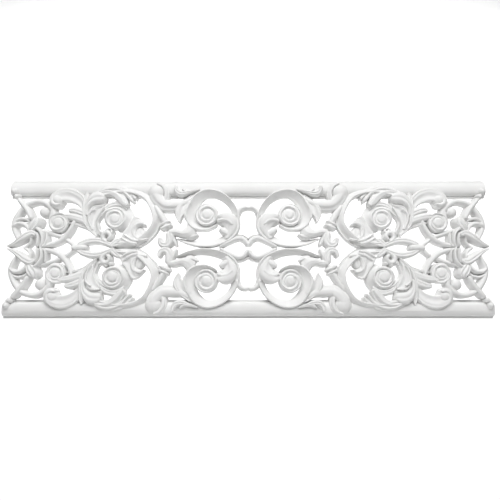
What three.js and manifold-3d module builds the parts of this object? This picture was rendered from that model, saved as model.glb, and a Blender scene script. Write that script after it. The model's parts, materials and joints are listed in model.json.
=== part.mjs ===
// Baroque frieze moulding: one plaster casting, openwork acanthus scrolls between two rails.
// X runs along the moulding, Z is up, the carved front looks towards -Y and the flat back lies at Y = 0.
// The origin is in the middle of the back, on the knot where the scrolls of both halves meet.
import * as THREE from 'three';
import { mergeVertices } from 'three/addons/utils/BufferGeometryUtils.js';
import Module from 'manifold-3d';

// Driving sizes in millimetres
const LENGTH = 1000;
const HEIGHT = 290;
const RAIL_HEIGHT = 38;
const RAIL_DEPTH = 18;
const RAIL_FILLET_WIDTH = 3.5;
const RAIL_FILLET_DEPTH = 9;
const RELIEF_DEPTH = 27;
const BALL_RADIUS = 8;
const BERRY_RADIUS = 12.5;

// The ornament is a free form drawn on a board of 500 by 145 parts, a quarter of the moulding.
// A point (a, b) is a parts from the middle of the length and b parts above the middle of the height.
const BOARD_LENGTH = 500;
const BOARD_HEIGHT = 145;
const ALONG = LENGTH / 2 / BOARD_LENGTH;
const ACROSS = HEIGHT / 2 / BOARD_HEIGHT;
const WIDTH_PART = Math.min(ALONG, ACROSS);

// Heights over the wall as shares of the relief depth
const TOP = 1;
const HIGH = 0.9;
const MIDDLE = 0.78;
const LOW = 0.62;

// Facets: a stroke is cut where it has turned this far or run this long
const TURN_PER_FACET = THREE.MathUtils.degToRad(42);
const RUN_PER_FACET = 46;
const ROUND_FACETS = 8;
const VOLUTE_FACETS = 10;
const RAIL_FACETS = 6;

// Power of the rail's rounding: two gives half an ellipse, more gives a flatter face
const RAIL_FLATNESS = 2.7;

// A corner is left out where the surface moves less than this
const EASE = 0.85;

// Sections of a carver's stroke, from its right edge over the crest to its left edge.
// Each entry is a share of the half width and a share of the crest height; the back is flat.
const BEAD = [[1, 0], [0.68, 1], [-0.68, 1], [-1, 0]];
const LEAF = [[1, 0], [0.9, 0.66], [0.1, 1], [-0.9, 0.66], [-1, 0]];
const FOLD = [[1, 0], [0.6, 1], [-0.75, 0.82], [-1, 0]];
const RIM_LEFT = [[1, 0], [0.95, 0.58], [-0.42, 0.68], [-0.72, 1], [-1, 0]];
const RIM_RIGHT = RIM_LEFT.map(([side, rise]) => [-side, rise]).reverse();

const wasm = await Module();
wasm.setup();

// Solid of a closed geometry, whichever way round its faces were listed
function solid(geometry) {
  geometry.deleteAttribute('normal');
  geometry.deleteAttribute('uv');
  const welded = mergeVertices(geometry, 1e-4);
  const corners = welded.attributes.position.array;
  const faces = welded.index.array;
  const triangles = [];
  let volume = 0;
  for (let i = 0; i < faces.length; i += 3) {
    const [p, q, r] = [faces[i], faces[i + 1], faces[i + 2]];
    if (p === q || q === r || r === p) continue;
    triangles.push(p, q, r);
    const [a, b, c] = [p, q, r].map((k) => new THREE.Vector3().fromArray(corners, 3 * k));
    volume += a.dot(b.cross(c));
  }
  if (volume < 0) triangles.reverse();
  return new wasm.Manifold(new wasm.Mesh({
    numProp: 3,
    vertProperties: Float32Array.from(corners),
    triVerts: Uint32Array.from(triangles),
  }));
}

function joined(solids) {
  return solids.reduce((whole, one) => whole.add(one));
}

// Value at share t along a list of equally spaced values
function along(values, t) {
  const place = t * (values.length - 1);
  const i = Math.min(Math.floor(place), values.length - 2);
  return values.length === 1 ? values[0] : THREE.MathUtils.lerp(values[i], values[i + 1], place - i);
}

// Free line through a few points of the board
function flow(...points) {
  return new THREE.SplineCurve(points.map(([a, b]) => new THREE.Vector2(a * ALONG, b * ACROSS)));
}

// Winding line round an eye: one radius after each equal turn, angles in degrees from the +a direction.
// A lead is a list of points that the line runs through first.
function winding([a, b], start, turn, radii, lead = []) {
  return flow(...lead, ...radii.map((radius, i) => {
    const angle = THREE.MathUtils.degToRad(start + i * turn);
    return [a + radius * Math.cos(angle), b + radius * Math.sin(angle)];
  }));
}

// Shares of a line at which a faceted stroke has its stations
function stations(line) {
  const samples = 120;
  const used = [0];
  for (let i = 1; i <= samples; i += 1) {
    const before = line.getTangent((i - 1) / samples);
    const here = line.getTangent(i / samples);
    const run = line.getPoint(i / samples).distanceTo(line.getPoint((i - 1) / samples));
    used.push(used[i - 1] + Math.abs(before.angleTo(here)) / TURN_PER_FACET + run / RUN_PER_FACET);
  }
  const facets = Math.max(1, Math.round(used[samples]));
  const shares = [];
  for (let k = 0; k <= facets; k += 1) {
    const wanted = (k / facets) * used[samples];
    const next = Math.max(1, used.findIndex((value) => value >= wanted - 1e-9));
    const part = (wanted - used[next - 1]) / (used[next] - used[next - 1]);
    shares.push((next - 1 + part) / samples);
  }
  return shares;
}

// Closed solid between two margins: a section spans them at each share, with changing crest.
// The margins are functions of the share that give the right and the left point.
function spanned(section, shares, margins, crests) {
  const positions = [];
  const faces = [];
  const size = section.length;
  shares.forEach((t, row) => {
    const [right, left] = margins(t);
    const crest = along(crests, t) * RELIEF_DEPTH;
    section.forEach(([side, rise]) => {
      const point = left.clone().lerp(right, (side + 1) / 2);
      positions.push(point.x, -crest * rise, point.y);
    });
    if (row === 0) return;
    for (let i = 0; i < size; i += 1) {
      const [low, high] = [(row - 1) * size + i, (row - 1) * size + ((i + 1) % size)];
      faces.push(low, high, high + size, low, high + size, low + size);
    }
  });
  const last = (shares.length - 1) * size;
  for (let i = 1; i < size - 1; i += 1) {
    faces.push(0, i + 1, i, last, last + i, last + i + 1);
  }
  const geometry = new THREE.BufferGeometry();
  geometry.setAttribute('position', new THREE.Float32BufferAttribute(positions, 3));
  geometry.setIndex(faces);
  return solid(geometry);
}

// Stroke of the chisel: a section carried along a line with changing half width and crest
function stroke(section, line, widths, crests) {
  const margins = (t) => {
    const point = line.getPoint(t);
    const tangent = line.getTangent(t);
    const half = new THREE.Vector2(tangent.y, -tangent.x).multiplyScalar(along(widths, t) * WIDTH_PART);
    return [point.clone().add(half), point.clone().sub(half)];
  };
  return spanned(section, stations(line), margins, crests);
}

// Broad leaf between its right and its left margin, each a free line
function leaf(section, right, left, crests) {
  return spanned(section, stations(right), (t) => [right.getPoint(t), left.getPoint(t)], crests);
}

// Turned boss standing on the wall: profile entries are shares of its radius and of its height
function boss(profile, [a, b], radius, crest, facets = ROUND_FACETS) {
  const depth = crest * RELIEF_DEPTH;
  const outline = [[0, 0], ...profile].map(([r, h]) => new THREE.Vector2(r * radius, h * depth));
  const geometry = new THREE.LatheGeometry(outline, facets);
  geometry.rotateX(Math.PI);
  geometry.translate(a * ALONG, 0, b * ACROSS);
  return solid(geometry);
}

const DOMED = [[1, 0], [0.82, 0.72], [0, 1]];
const VOLUTE = [[1, 0], [1, 0.7], [0.6, 0.62], [0.36, 1], [0, 1]];

// Big scroll: a hoop that leaves the root, swings round under the rail and closes in on a volute
function bigScroll() {
  const eye = [277, 60];
  const hoop = winding([260, 64], -72, -50, [62, 62.5, 69.5, 65.5, 60.5, 77]);
  const band = winding(eye, -52, 45, [49, 46, 34, 28.5, 28.5, 29, 26]);
  return [
    stroke(RIM_RIGHT, hoop, [5, 9.8, 9.8, 10, 10, 9], [MIDDLE, HIGH, HIGH]),
    stroke(RIM_LEFT, band, [5, 10, 10, 9, 8], [LOW, HIGH]),
    boss(VOLUTE, eye, 24, HIGH),
    ...curlLeaf(),
    ...sheath(),
  ];
}

// Broad leaf on the inner side of the hoop, which ends in a small hook
function curlLeaf() {
  const outer = flow([281, 1], [260, 5], [243, 12], [236, 26], [236, 42], [226, 52], [215, 50]);
  const inner = flow([290, 8], [268, 20], [254, 36], [246, 48], [242, 60], [236, 66], [224, 62]);
  const hook = flow([217, 17], [231, 20], [238, 30], [236, 43], [226, 49], [216, 43]);
  return [
    leaf(RIM_LEFT, inner, outer, [MIDDLE, MIDDLE]),
    stroke(FOLD, hook, [4, 5, 5, 3.5], [HIGH, HIGH]),
  ];
}

// Three blades that lie over the foot of the hoop, one behind the other, and the ground beside them
function sheath() {
  return [
    leaf(BEAD, flow([304, 72], [278, 86], [256, 78]), flow([306, 90], [281, 100], [256, 94]), [LOW, LOW]),
    leaf(
      FOLD,
      flow([331, 104], [308, 110], [284, 106], [270, 93], [261, 85]),
      flow([334, 113], [312, 124], [286, 128], [260, 116], [243, 94]),
      [HIGH, TOP],
    ),
    leaf(
      FOLD,
      flow([310, 112], [280, 118], [258, 110], [242, 92]),
      flow([316, 122], [286, 132], [256, 125], [237, 102]),
      [HIGH, HIGH],
    ),
    leaf(
      FOLD,
      flow([292, 121], [265, 121], [247, 110], [238, 99]),
      flow([300, 129], [270, 135], [246, 125], [231, 107]),
      [MIDDLE, MIDDLE],
    ),
  ];
}

// Fan of acanthus leaves that opens between the big scroll and the strapwork
function fan() {
  return [
    stroke(BEAD, flow([312, 20], [333, 44], [341, 70], [339, 118]), [3, 6, 5, 3], [MIDDLE, HIGH]),
    boss(DOMED, [400, 98], 13.5, TOP),
    ...hookLeaf(),
    ...sideLeaves(),
    ...lobes(),
    ...node(),
  ];
}

// Large leaf that sweeps down on to the rail and curls over
function hookLeaf() {
  const outer = flow([338, 66], [342, 95], [350, 112], [367, 124], [386, 126], [402, 119], [412, 106]);
  const inner = flow([350, 60], [350, 79], [359, 90], [370, 96], [381, 98], [391, 97], [402, 96]);
  return [leaf(RIM_LEFT, inner, outer, [MIDDLE, TOP])];
}

// Three leaves that point to the strapwork and merge towards the trunk
function sideLeaves() {
  return [
    leaf(LEAF, flow([311, 22], [336, 36], [374, 50]), flow([324, 44], [344, 52], [374, 53]), [LOW, MIDDLE]),
    leaf(LEAF, flow([334, 44], [360, 54], [390, 63]), flow([336, 68], [360, 74], [391, 70]), [HIGH, MIDDLE]),
    leaf(FOLD, flow([336, 58], [358, 68], [377, 75]), flow([340, 82], [358, 88], [375, 84]), [HIGH, MIDDLE]),
  ];
}

// Two lobes that point to the scroll, the upper one broad and the lower one with a round end
function lobes() {
  return [
    leaf(
      RIM_RIGHT,
      flow([311, 26], [315, 42], [314, 58], [307, 73], [300, 84]),
      flow([316, 24], [331, 44], [336, 66], [325, 87], [301, 88]),
      [MIDDLE, HIGH],
    ),
    leaf(
      LEAF,
      flow([331, 64], [331, 82], [321, 94], [308, 95], [297, 98]),
      flow([340, 66], [342, 92], [330, 111], [313, 116], [297, 107]),
      [MIDDLE, TOP],
    ),
  ];
}

// Tie on the centre line, the petals that leave it and their small curl
function node() {
  return [
    stroke(BEAD, flow([367, 0], [332, 0]), [8], [MIDDLE, HIGH]),
    stroke(BEAD, flow([354, 4], [334, 13], [312, 15], [277, 1]), [6, 7.6, 7.6, 4], [MIDDLE, MIDDLE]),
    stroke(FOLD, winding([290, 23], -80, 62, [13, 9, 8.4, 8.6, 9]), [5, 6, 6.5, 6, 4], [MIDDLE, HIGH]),
  ];
}

// Strapwork at the end of the moulding: interlaced loops with berries, a spear tip and a corner stem
function strapwork() {
  const loop = winding([444, 55], -54, 40, [51.6, 45.4, 39.5, 41, 44, 42.4, 35]);
  const hook = flow([489, 42], [479, 50], [465, 49], [456, 40], [454, 28]);
  const arc = flow([434, 3], [411, 6], [389, 15], [374, 31], [361, 58]);
  return [
    stroke(BEAD, loop, [4.4, 6.4, 7, 6.8, 6.5], [MIDDLE, MIDDLE]),
    boss(VOLUTE, [395, 53], 21.5, HIGH),
    boss(DOMED, [426, 76], BERRY_RADIUS, MIDDLE),
    boss(DOMED, [441, 51], BERRY_RADIUS, TOP),
    boss(DOMED, [491, 119], BALL_RADIUS, TOP),
    stroke(BEAD, flow([488, 113], [466, 84], [450, 58]), [7, 6.8, 6.4], [HIGH, HIGH]),
    stroke(BEAD, hook, [4.2, 5.4, 5.2, 4.4], [HIGH, MIDDLE]),
    stroke(BEAD, flow([489, 54], [474, 62], [449, 49]), [3.6, 4.2, 4.4], [MIDDLE, LOW]),
    stroke(FOLD, flow([499, 2], [468, 19], [451, 29], [438, 24]), [2, 6.5, 8.5, 4.8], [MIDDLE, HIGH]),
    stroke(BEAD, flow([467, -1], [455, 6], [452, 24]), [3.6, 4.4, 4], [LOW, MIDDLE]),
    stroke(BEAD, flow([427, -2], [425, 12], [428, 28], [440, 41]), [4.8, 5.2, 4.8], [HIGH, HIGH]),
    stroke(BEAD, arc, [4.6, 5.8, 6.5, 4.8], [MIDDLE, MIDDLE]),
    stroke(BEAD, flow([431, 38], [385, 22]), [5.2], [LOW, LOW]),
    stroke(BEAD, flow([357, 1], [380, 20]), [5.2], [LOW, LOW]),
  ];
}

// Scroll beside the middle of the moulding, wound once more than the big one
function middleScroll() {
  const tip = [[150, 20], [124, 9.5], [97, 6.6], [70, 8], [47, 19]];
  const turns = [58.3, 58.3, 54.5, 50.5, 45.5, 42.3, 37, 26];
  const widths = [1.6, 5.6, 8.2, 9, 9.4, 10, 10.2, 10.2, 10, 10, 9.8, 8, 6];
  const wrap = flow([114, 104], [136, 93], [166, 87], [191, 95], [201, 110]);
  return [
    stroke(RIM_RIGHT, winding([80, 66], -159, -45, turns, tip), widths, [MIDDLE, HIGH, HIGH]),
    boss(VOLUTE, [86, 68.5], 26.5, HIGH, VOLUTE_FACETS),
    stroke(FOLD, flow([29, 22], [43, 24], [58, 36]), [9, 10, 3], [MIDDLE, MIDDLE]),
    stroke(LEAF, flow([23, 36], [42, 46], [61, 50]), [10, 12, 4.5], [HIGH, HIGH]),
    stroke(LEAF, flow([24, 53], [42, 67], [64, 62]), [10, 12, 9], [HIGH, TOP]),
    stroke(LEAF, flow([114, 108], [135, 95], [143, 78], [139, 52]), [7, 11, 12, 2.5], [MIDDLE, HIGH]),
    stroke(FOLD, flow([120, 94], [129, 80], [130, 60]), [7, 7, 2], [MIDDLE, HIGH]),
    stroke(LEAF, flow([98, 122], [117, 115], [140, 112], [151, 128]), [4, 7, 9, 3.4], [HIGH, TOP]),
    stroke(FOLD, wrap, [6, 10, 12], [MIDDLE, TOP]),
    boss(DOMED, [190, 118], 19, TOP, VOLUTE_FACETS),
  ];
}

// Tied bud on a stem that leans out between the two scrolls
function bud() {
  const tongue = flow([164, 37], [151, 28], [133, 25], [118, 34], [125, 58]);
  return [
    stroke(BEAD, flow([197, 91], [166, 42]), [6.4, 8], [MIDDLE, HIGH]),
    stroke(BEAD, flow([174, 54], [164, 37]), [10.8], [HIGH, HIGH]),
    stroke(LEAF, tongue, [9, 9, 8, 2.5], [HIGH, HIGH]),
    stroke(LEAF, flow([165, 36], [162, 17], [171, 3.5], [184, 21]), [9.5, 10, 8, 3], [HIGH, HIGH]),
    stroke(FOLD, flow([160, 24], [148, 2]), [7, 3], [MIDDLE, MIDDLE]),
  ];
}

// Loops tied at the middle of the moulding and the small bracket against the scroll
function knot() {
  return [
    stroke(BEAD, flow([60, 1], [36, 14], [20, 20], [8, 16], [-1, 3]), [4, 6, 6.2, 5.4], [MIDDLE, HIGH]),
    stroke(BEAD, flow([24, 64], [14, 83], [-1, 82]), [7, 5.6, 5], [MIDDLE, MIDDLE]),
  ];
}

// Flattened half-round rail with a fillet on each side, from the inner edge to the outer one
function rail() {
  const shape = new THREE.Shape();
  const rise = RAIL_HEIGHT / 2 - RAIL_FILLET_WIDTH;
  const middle = (HEIGHT - RAIL_HEIGHT) / 2;
  shape.moveTo(0, middle - RAIL_HEIGHT / 2);
  shape.lineTo(RAIL_FILLET_DEPTH, middle - RAIL_HEIGHT / 2);
  const swell = RAIL_DEPTH - RAIL_FILLET_DEPTH;
  for (let i = 0; i <= RAIL_FACETS; i += 1) {
    const place = -Math.cos(Math.PI * (i / RAIL_FACETS));
    const round = (1 - Math.abs(place) ** RAIL_FLATNESS) ** (1 / RAIL_FLATNESS);
    shape.lineTo(RAIL_FILLET_DEPTH + swell * round, middle + rise * place);
  }
  shape.lineTo(RAIL_FILLET_DEPTH, middle + RAIL_HEIGHT / 2);
  shape.lineTo(0, middle + RAIL_HEIGHT / 2);
  const geometry = new THREE.ExtrudeGeometry(shape, { depth: LENGTH, bevelEnabled: false });
  const placed = new THREE.Matrix4().makeBasis(
    new THREE.Vector3(0, -1, 0),
    new THREE.Vector3(0, 0, 1),
    new THREE.Vector3(-1, 0, 0),
  );
  geometry.applyMatrix4(placed);
  geometry.translate(LENGTH / 2, 0, 0);
  return solid(geometry);
}

// Copy of a solid seen in a mirror across X, across Z or both
function mirrored(piece, alongX, alongZ) {
  const mesh = piece.getMesh();
  const corners = Float32Array.from(mesh.vertProperties);
  for (let i = 0; i < corners.length; i += 3) {
    corners[i] *= alongX;
    corners[i + 2] *= alongZ;
  }
  const faces = Uint32Array.from(mesh.triVerts);
  if (alongX * alongZ < 0) faces.reverse();
  return new wasm.Manifold(new wasm.Mesh({ numProp: 3, vertProperties: corners, triVerts: faces }));
}

// Same solid with fewer corners: a corner is drawn onto a neighbour wherever no face of the original
// moves by more than the tolerance, which clears the slivers that crossing strokes leave
function eased(piece, tolerance) {
  const mesh = piece.getMesh();
  const points = [];
  for (let i = 0; i < mesh.vertProperties.length; i += 3) {
    points.push(new THREE.Vector3().fromArray(mesh.vertProperties, i));
  }
  const faces = [];
  for (let i = 0; i < mesh.triVerts.length; i += 3) {
    faces.push(Array.from(mesh.triVerts.slice(i, i + 3)));
  }
  const plane = (corners) => new THREE.Plane().setFromCoplanarPoints(...corners.map((k) => points[k]));
  const facesAt = points.map(() => new Set());
  const planesAt = points.map(() => []);
  faces.forEach((face, f) => face.forEach((corner) => {
    facesAt[corner].add(f);
    planesAt[corner].push(plane(face));
  }));
  const ring = (corner) => {
    const around = [...facesAt[corner]].flatMap((f) => faces[f]);
    return new Set(around.filter((k) => k !== corner));
  };
  const shift = (from, to) => planesAt[from].reduce(
    (most, one) => Math.max(most, Math.abs(one.distanceToPoint(points[to]))),
    0,
  );
  const canDraw = (from, to) => {
    const around = ring(from);
    const shared = [...ring(to)].filter((k) => around.has(k)).length;
    if (shared !== 2 || around.size < 4) return false;
    return [...facesAt[from]].every((f) => {
      if (faces[f].includes(to)) return true;
      const turned = plane(faces[f].map((k) => (k === from ? to : k)));
      return turned.normal.dot(plane(faces[f]).normal) > 0.5;
    });
  };
  const draw = (from, to) => {
    facesAt[from].forEach((f) => {
      if (faces[f].includes(to)) {
        faces[f].forEach((k) => k !== from && facesAt[k].delete(f));
        faces[f] = [];
      } else {
        faces[f] = faces[f].map((k) => (k === from ? to : k));
        facesAt[to].add(f);
      }
    });
    facesAt[from].clear();
    planesAt[to].push(...planesAt[from]);
  };
  for (let drawn = 1; drawn > 0;) {
    drawn = 0;
    const moves = faces.flatMap(([p, q, r]) => (p === undefined ? [] : [[p, q], [q, r], [r, p]]))
      .map(([from, to]) => [from, to, shift(from, to)])
      .filter((move) => move[2] < tolerance)
      .sort((one, other) => one[2] - other[2]);
    const touched = new Set();
    for (const [from, to] of moves) {
      if (touched.has(from) || touched.has(to) || !canDraw(from, to)) continue;
      ring(from).forEach((k) => touched.add(k));
      draw(from, to);
      drawn += 1;
    }
  }
  const used = [...new Set(faces.flat())];
  const place = new Map(used.map((corner, i) => [corner, i]));
  return new wasm.Manifold(new wasm.Mesh({
    numProp: 3,
    vertProperties: Float32Array.from(used.flatMap((corner) => points[corner].toArray())),
    triVerts: Uint32Array.from(faces.flat().map((corner) => place.get(corner))),
  }));
}

function frieze() {
  const strokes = [...bigScroll(), ...fan(), ...strapwork(), ...middleScroll(), ...bud(), ...knot()];
  const quarter = eased(joined(strokes), EASE);
  const railTop = rail();
  const whole = eased(joined([
    quarter,
    mirrored(quarter, -1, 1),
    mirrored(quarter, 1, -1),
    mirrored(quarter, -1, -1),
    railTop,
    mirrored(railTop, 1, -1),
  ]), EASE);
  const mesh = whole.getMesh();
  const geometry = new THREE.BufferGeometry();
  const corners = Float32Array.from(mesh.vertProperties);
  geometry.setAttribute('position', new THREE.BufferAttribute(corners, 3));
  geometry.setIndex(new THREE.BufferAttribute(Uint32Array.from(mesh.triVerts), 1));
  geometry.computeVertexNormals();
  return geometry;
}

const plaster = new THREE.MeshStandardMaterial({ color: 0xf1f1ef, roughness: 0.72, metalness: 0 });
const moulding = new THREE.Group();
const casting = new THREE.Mesh(frieze(), plaster);
casting.name = 'frieze_moulding';
moulding.add(casting);

export default moulding;
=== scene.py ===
"""Looks of a baroque frieze moulding: one white plaster casting with scrolls between two rails.

The ornament is carved in numpy from strokes and bosses drawn on a board, one quarter of the
moulding, then mirrored along the length and across the height and joined with the rails.
"""

import json
import logging
import math
from dataclasses import dataclass, field
from enum import Enum

import bpy
import numpy as np
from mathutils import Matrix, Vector

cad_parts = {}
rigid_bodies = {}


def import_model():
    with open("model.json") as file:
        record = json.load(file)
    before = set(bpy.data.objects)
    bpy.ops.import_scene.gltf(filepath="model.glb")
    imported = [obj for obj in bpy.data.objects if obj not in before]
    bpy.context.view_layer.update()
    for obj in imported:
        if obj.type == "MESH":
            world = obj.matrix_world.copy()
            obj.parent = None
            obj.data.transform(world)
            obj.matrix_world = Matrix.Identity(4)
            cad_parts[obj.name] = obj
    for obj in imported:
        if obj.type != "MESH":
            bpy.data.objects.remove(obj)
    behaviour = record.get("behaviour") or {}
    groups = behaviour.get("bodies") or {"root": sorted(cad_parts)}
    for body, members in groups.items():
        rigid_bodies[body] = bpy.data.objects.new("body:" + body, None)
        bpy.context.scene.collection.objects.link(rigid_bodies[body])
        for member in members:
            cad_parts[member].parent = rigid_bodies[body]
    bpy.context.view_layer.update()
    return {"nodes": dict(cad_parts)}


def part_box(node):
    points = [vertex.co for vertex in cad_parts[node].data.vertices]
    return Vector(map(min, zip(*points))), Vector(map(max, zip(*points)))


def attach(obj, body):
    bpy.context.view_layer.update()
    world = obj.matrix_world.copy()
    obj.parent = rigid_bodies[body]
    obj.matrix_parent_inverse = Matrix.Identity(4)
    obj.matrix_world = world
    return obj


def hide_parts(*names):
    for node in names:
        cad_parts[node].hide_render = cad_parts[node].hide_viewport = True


logging.basicConfig(level=logging.INFO, format="%(message)s")
LOG = logging.getLogger("frieze")

NODE = "frieze_moulding"
BODY = "root"
IMAGE_WIDTH = 500

RELIEF_DEPTH = 0.027
BOARD_LENGTH = 500.0
BOARD_HEIGHT = 145.0

TOP = 1.0
HIGH = 0.9
MIDDLE = 0.78
LOW = 0.62

Point = tuple[float, float]
Place = tuple[float, float, float]
Colour = tuple[float, float, float]
Numbers = tuple[float, ...]


class Section(Enum):
    """Cross section of a stroke of the chisel."""

    BEAD = "bead"
    LEAF = "leaf"
    FLUTED = "fluted"
    FOLD = "fold"
    HOLLOW = "hollow"
    RIM = "rim"
    SCOOP = "scoop"


class Crown(Enum):
    """Shape of a boss from its middle to its edge."""

    DOME = "dome"
    VOLUTE = "volute"


@dataclass
class Shell:
    """A closed surface: corners in metres and faces as lists of corner numbers."""

    corners: np.ndarray
    faces: list[tuple[int, ...]]

    def mirrored(self, along: float, across: float) -> "Shell":
        """Copy seen in a mirror.

        Args:
            along: -1 to mirror along the length, 1 to leave it.
            across: -1 to mirror across the height, 1 to leave it.

        Returns:
            The mirrored shell, with its faces still pointing outwards.
        """
        corners = self.corners * np.array([along, 1.0, across])
        turned = along * across < 0
        faces = [face[::-1] if turned else face for face in self.faces]
        return Shell(corners, faces)


@dataclass(frozen=True)
class Board:
    """The drawing board of the ornament, and how it maps to the moulding."""

    half_length: float
    half_height: float
    depth: float

    @property
    def along(self) -> float:
        """Metres for one part along the length."""
        return self.half_length / BOARD_LENGTH

    @property
    def across(self) -> float:
        """Metres for one part across the height."""
        return self.half_height / BOARD_HEIGHT

    @property
    def part(self) -> float:
        """Metres for one part of a stroke's width."""
        return min(self.along, self.across)


def catmull_rom(points: np.ndarray, shares: np.ndarray) -> np.ndarray:
    """Free line through points.

    Between two points the line is the cubic whose slope at each point is half the step between
    that point's neighbours; the end points count as their own neighbours.

    Args:
        points: the points, one row each.
        shares: places along the line, from 0 to 1.

    Returns:
        One row for each share.
    """
    last = len(points) - 1
    place = np.clip(shares, 0.0, 1.0) * last
    start = np.minimum(place.astype(int), last - 1)
    part = (place - start)[:, None]
    before = points[np.maximum(start - 1, 0)]
    here = points[start]
    there = points[start + 1]
    after = points[np.minimum(start + 2, last)]
    slope_here = (there - before) / 2.0
    slope_there = (after - here) / 2.0
    square = part**2
    cube = part**3
    return (
        (2 * here - 2 * there + slope_here + slope_there) * cube
        + (3 * there - 3 * here - 2 * slope_here - slope_there) * square
        + slope_here * part
        + here
    )


def blended(values: Numbers, shares: np.ndarray) -> np.ndarray:
    """Values at equal steps, drawn through as one smooth line.

    Args:
        values: the values at equal steps.
        shares: places along them, from 0 to 1.

    Returns:
        One value for each share.
    """
    if len(values) == 1:
        return np.full(len(shares), float(values[0]))
    return catmull_rom(np.array(values, float)[:, None], shares)[:, 0]


def winding(eye: Point, start: float, turn: float, radii: Numbers) -> tuple[Point, ...]:
    """Points of a line that winds round an eye.

    Point i lies at angle start + i * turn and at radius radii[i] from the eye.

    Args:
        eye: middle of the winding on the board.
        start: first angle in degrees, from the direction away from the middle of the length.
        turn: angle between two points in degrees.
        radii: one radius for each point.

    Returns:
        The points on the board.
    """
    angles = np.radians(start + turn * np.arange(len(radii)))
    reach = np.array(radii, float)
    return tuple(
        zip(
            (eye[0] + reach * np.cos(angles)).tolist(),
            (eye[1] + reach * np.sin(angles)).tolist(),
        )
    )


def bump(place: np.ndarray, middle: float, reach: float) -> np.ndarray:
    """Bell of height one: e to the minus square of the distance from the middle over the reach."""
    return np.exp(-(((place - middle) / reach) ** 2))


def section_heights(section: Section, side: np.ndarray, fade: np.ndarray) -> np.ndarray:
    """Heights of a cross section as shares of the crest.

    A bead, a fold, a leaf, a fluted leaf and a hollow leaf are rounded backs: one minus a power
    of the side, all to another power, over a lip. A leaf has a groove along its middle, a fluted
    one soft waves, and a fold a crease near its left edge. A hollow leaf has a wide dip beside
    its middle and a vein on the other side. A rim has a roll near its right edge and falls away
    behind it to a hollow with a low lip. A scoop slopes straight down from the roll at its left
    edge to a low lip.

    Args:
        section: which cross section.
        side: places across the stroke, from 1 at its right edge to -1 at its left edge.
        fade: strength of the fine carving at each station, from 0 to 1, as a column.

    Returns:
        One row of heights for each station.
    """
    round_back = np.clip(1.0 - side**2, 0.0, 1.0)
    if section is Section.BEAD:
        rows = 0.45 + 0.55 * round_back**0.5
        return np.repeat(rows[None, :], len(fade), axis=0)
    if section is Section.FOLD:
        lean = np.clip(1.0 - np.abs((side - 0.3) / np.where(side > 0.3, 0.7, 1.3)) ** 2.4, 0.0, 1.0)
        rows = 0.55 + 0.45 * lean**0.6
        crease = 0.09 * bump(side, -0.45, 0.2)
        return rows[None, :] - crease[None, :] * fade
    if section is Section.LEAF:
        rows = 0.6 + 0.4 * np.clip(1.0 - np.abs(side) ** 2.6, 0.0, 1.0) ** 0.6
        rib = 0.08 * bump(side, 0.05, 0.18)
        return rows[None, :] - rib[None, :] * fade
    if section is Section.FLUTED:
        rows = 0.6 + 0.4 * np.clip(1.0 - np.abs(side) ** 3, 0.0, 1.0) ** 0.6
        flutes = 0.06 * (1.0 + np.cos((side + 0.2) * 3.2 * math.pi)) * round_back**0.3
        return rows[None, :] - flutes[None, :] * fade
    if section is Section.HOLLOW:
        rows = 0.72 + 0.28 * np.clip(1.0 - np.abs(side) ** 6, 0.0, 1.0) ** 0.5
        dip = 0.2 * bump(side, 0.25, 0.55) + 0.05 * bump(side, -0.5, 0.12)
        return rows[None, :] - dip[None, :] * fade
    if section is Section.SCOOP:
        climb = np.clip((0.9 - side) / 1.6, 0.0, 1.0)
        rows = 0.4 + 0.5 * climb + 0.08 * bump(side, -0.74, 0.2) + 0.08 * bump(side, 0.92, 0.12)
        return rows[None, :] * np.ones_like(fade)
    climb = np.clip((side + 0.6) / 0.9, 0.0, 1.0)
    slope = 0.52 + 0.38 * climb * climb * (3.0 - 2.0 * climb)
    roll = 0.1 * bump(side, 0.66, 0.3)
    lip = 0.08 * bump(side, -0.88, 0.14)
    edge = 1.0 - 0.3 * np.clip((np.abs(side) - 0.9) / 0.1, 0.0, 1.0) ** 2
    return ((slope + roll + lip) * edge)[None, :] * np.ones_like(fade)


@dataclass
class Stroke:
    """One stroke of the chisel: a section carried along a line of the board.

    Attributes:
        section: its cross section.
        line: points of the board that its middle runs through.
        widths: half widths in parts at equal steps along the line.
        crests: heights of the crest as shares of the relief depth, at equal steps.
        step: distance between stations in parts.
        sides: number of corners across the front.
    """

    section: Section
    line: tuple[Point, ...]
    widths: Numbers
    crests: Numbers
    step: float = 3.6
    sides: int = 13

    def shell(self, board: Board) -> Shell:
        """Mesh of the stroke.

        The line is walked in nearly equal steps. At each station the half width is the blended
        width, drawn in near both ends by a quarter circle. The corner at side s lies s half
        widths across the line, and its height is the crest times the section's height there.
        The back lies flat on the wall.

        Args:
            board: the drawing board.

        Returns:
            The closed shell.
        """
        points = np.array(self.line, float)
        walk = Walk.along(points, self.step)
        middle = catmull_rom(points, walk.shares)
        ahead = catmull_rom(points, np.clip(walk.shares + 1e-3, 0, 1))
        behind = catmull_rom(points, np.clip(walk.shares - 1e-3, 0, 1))
        tangent = (ahead - behind) / np.linalg.norm(ahead - behind, axis=1)[:, None]
        half = np.maximum(blended(self.widths, walk.shares), 0.4)
        crest = blended(self.crests, walk.shares)
        for end in (0, -1):
            round_end = walk.round_end(end, max(half[end], 0.6))
            half = half * np.maximum(round_end, 0.12)
            crest = crest * (0.72 + 0.28 * round_end)
        reach = np.stack([tangent[:, 1], -tangent[:, 0]], axis=1) * half[:, None]
        scale = np.array([board.along, board.across])
        right = middle * scale + reach * board.part
        left = middle * scale - reach * board.part
        return spanned(self.section, walk.even, right, left, crest * board.depth, self.sides)


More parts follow.
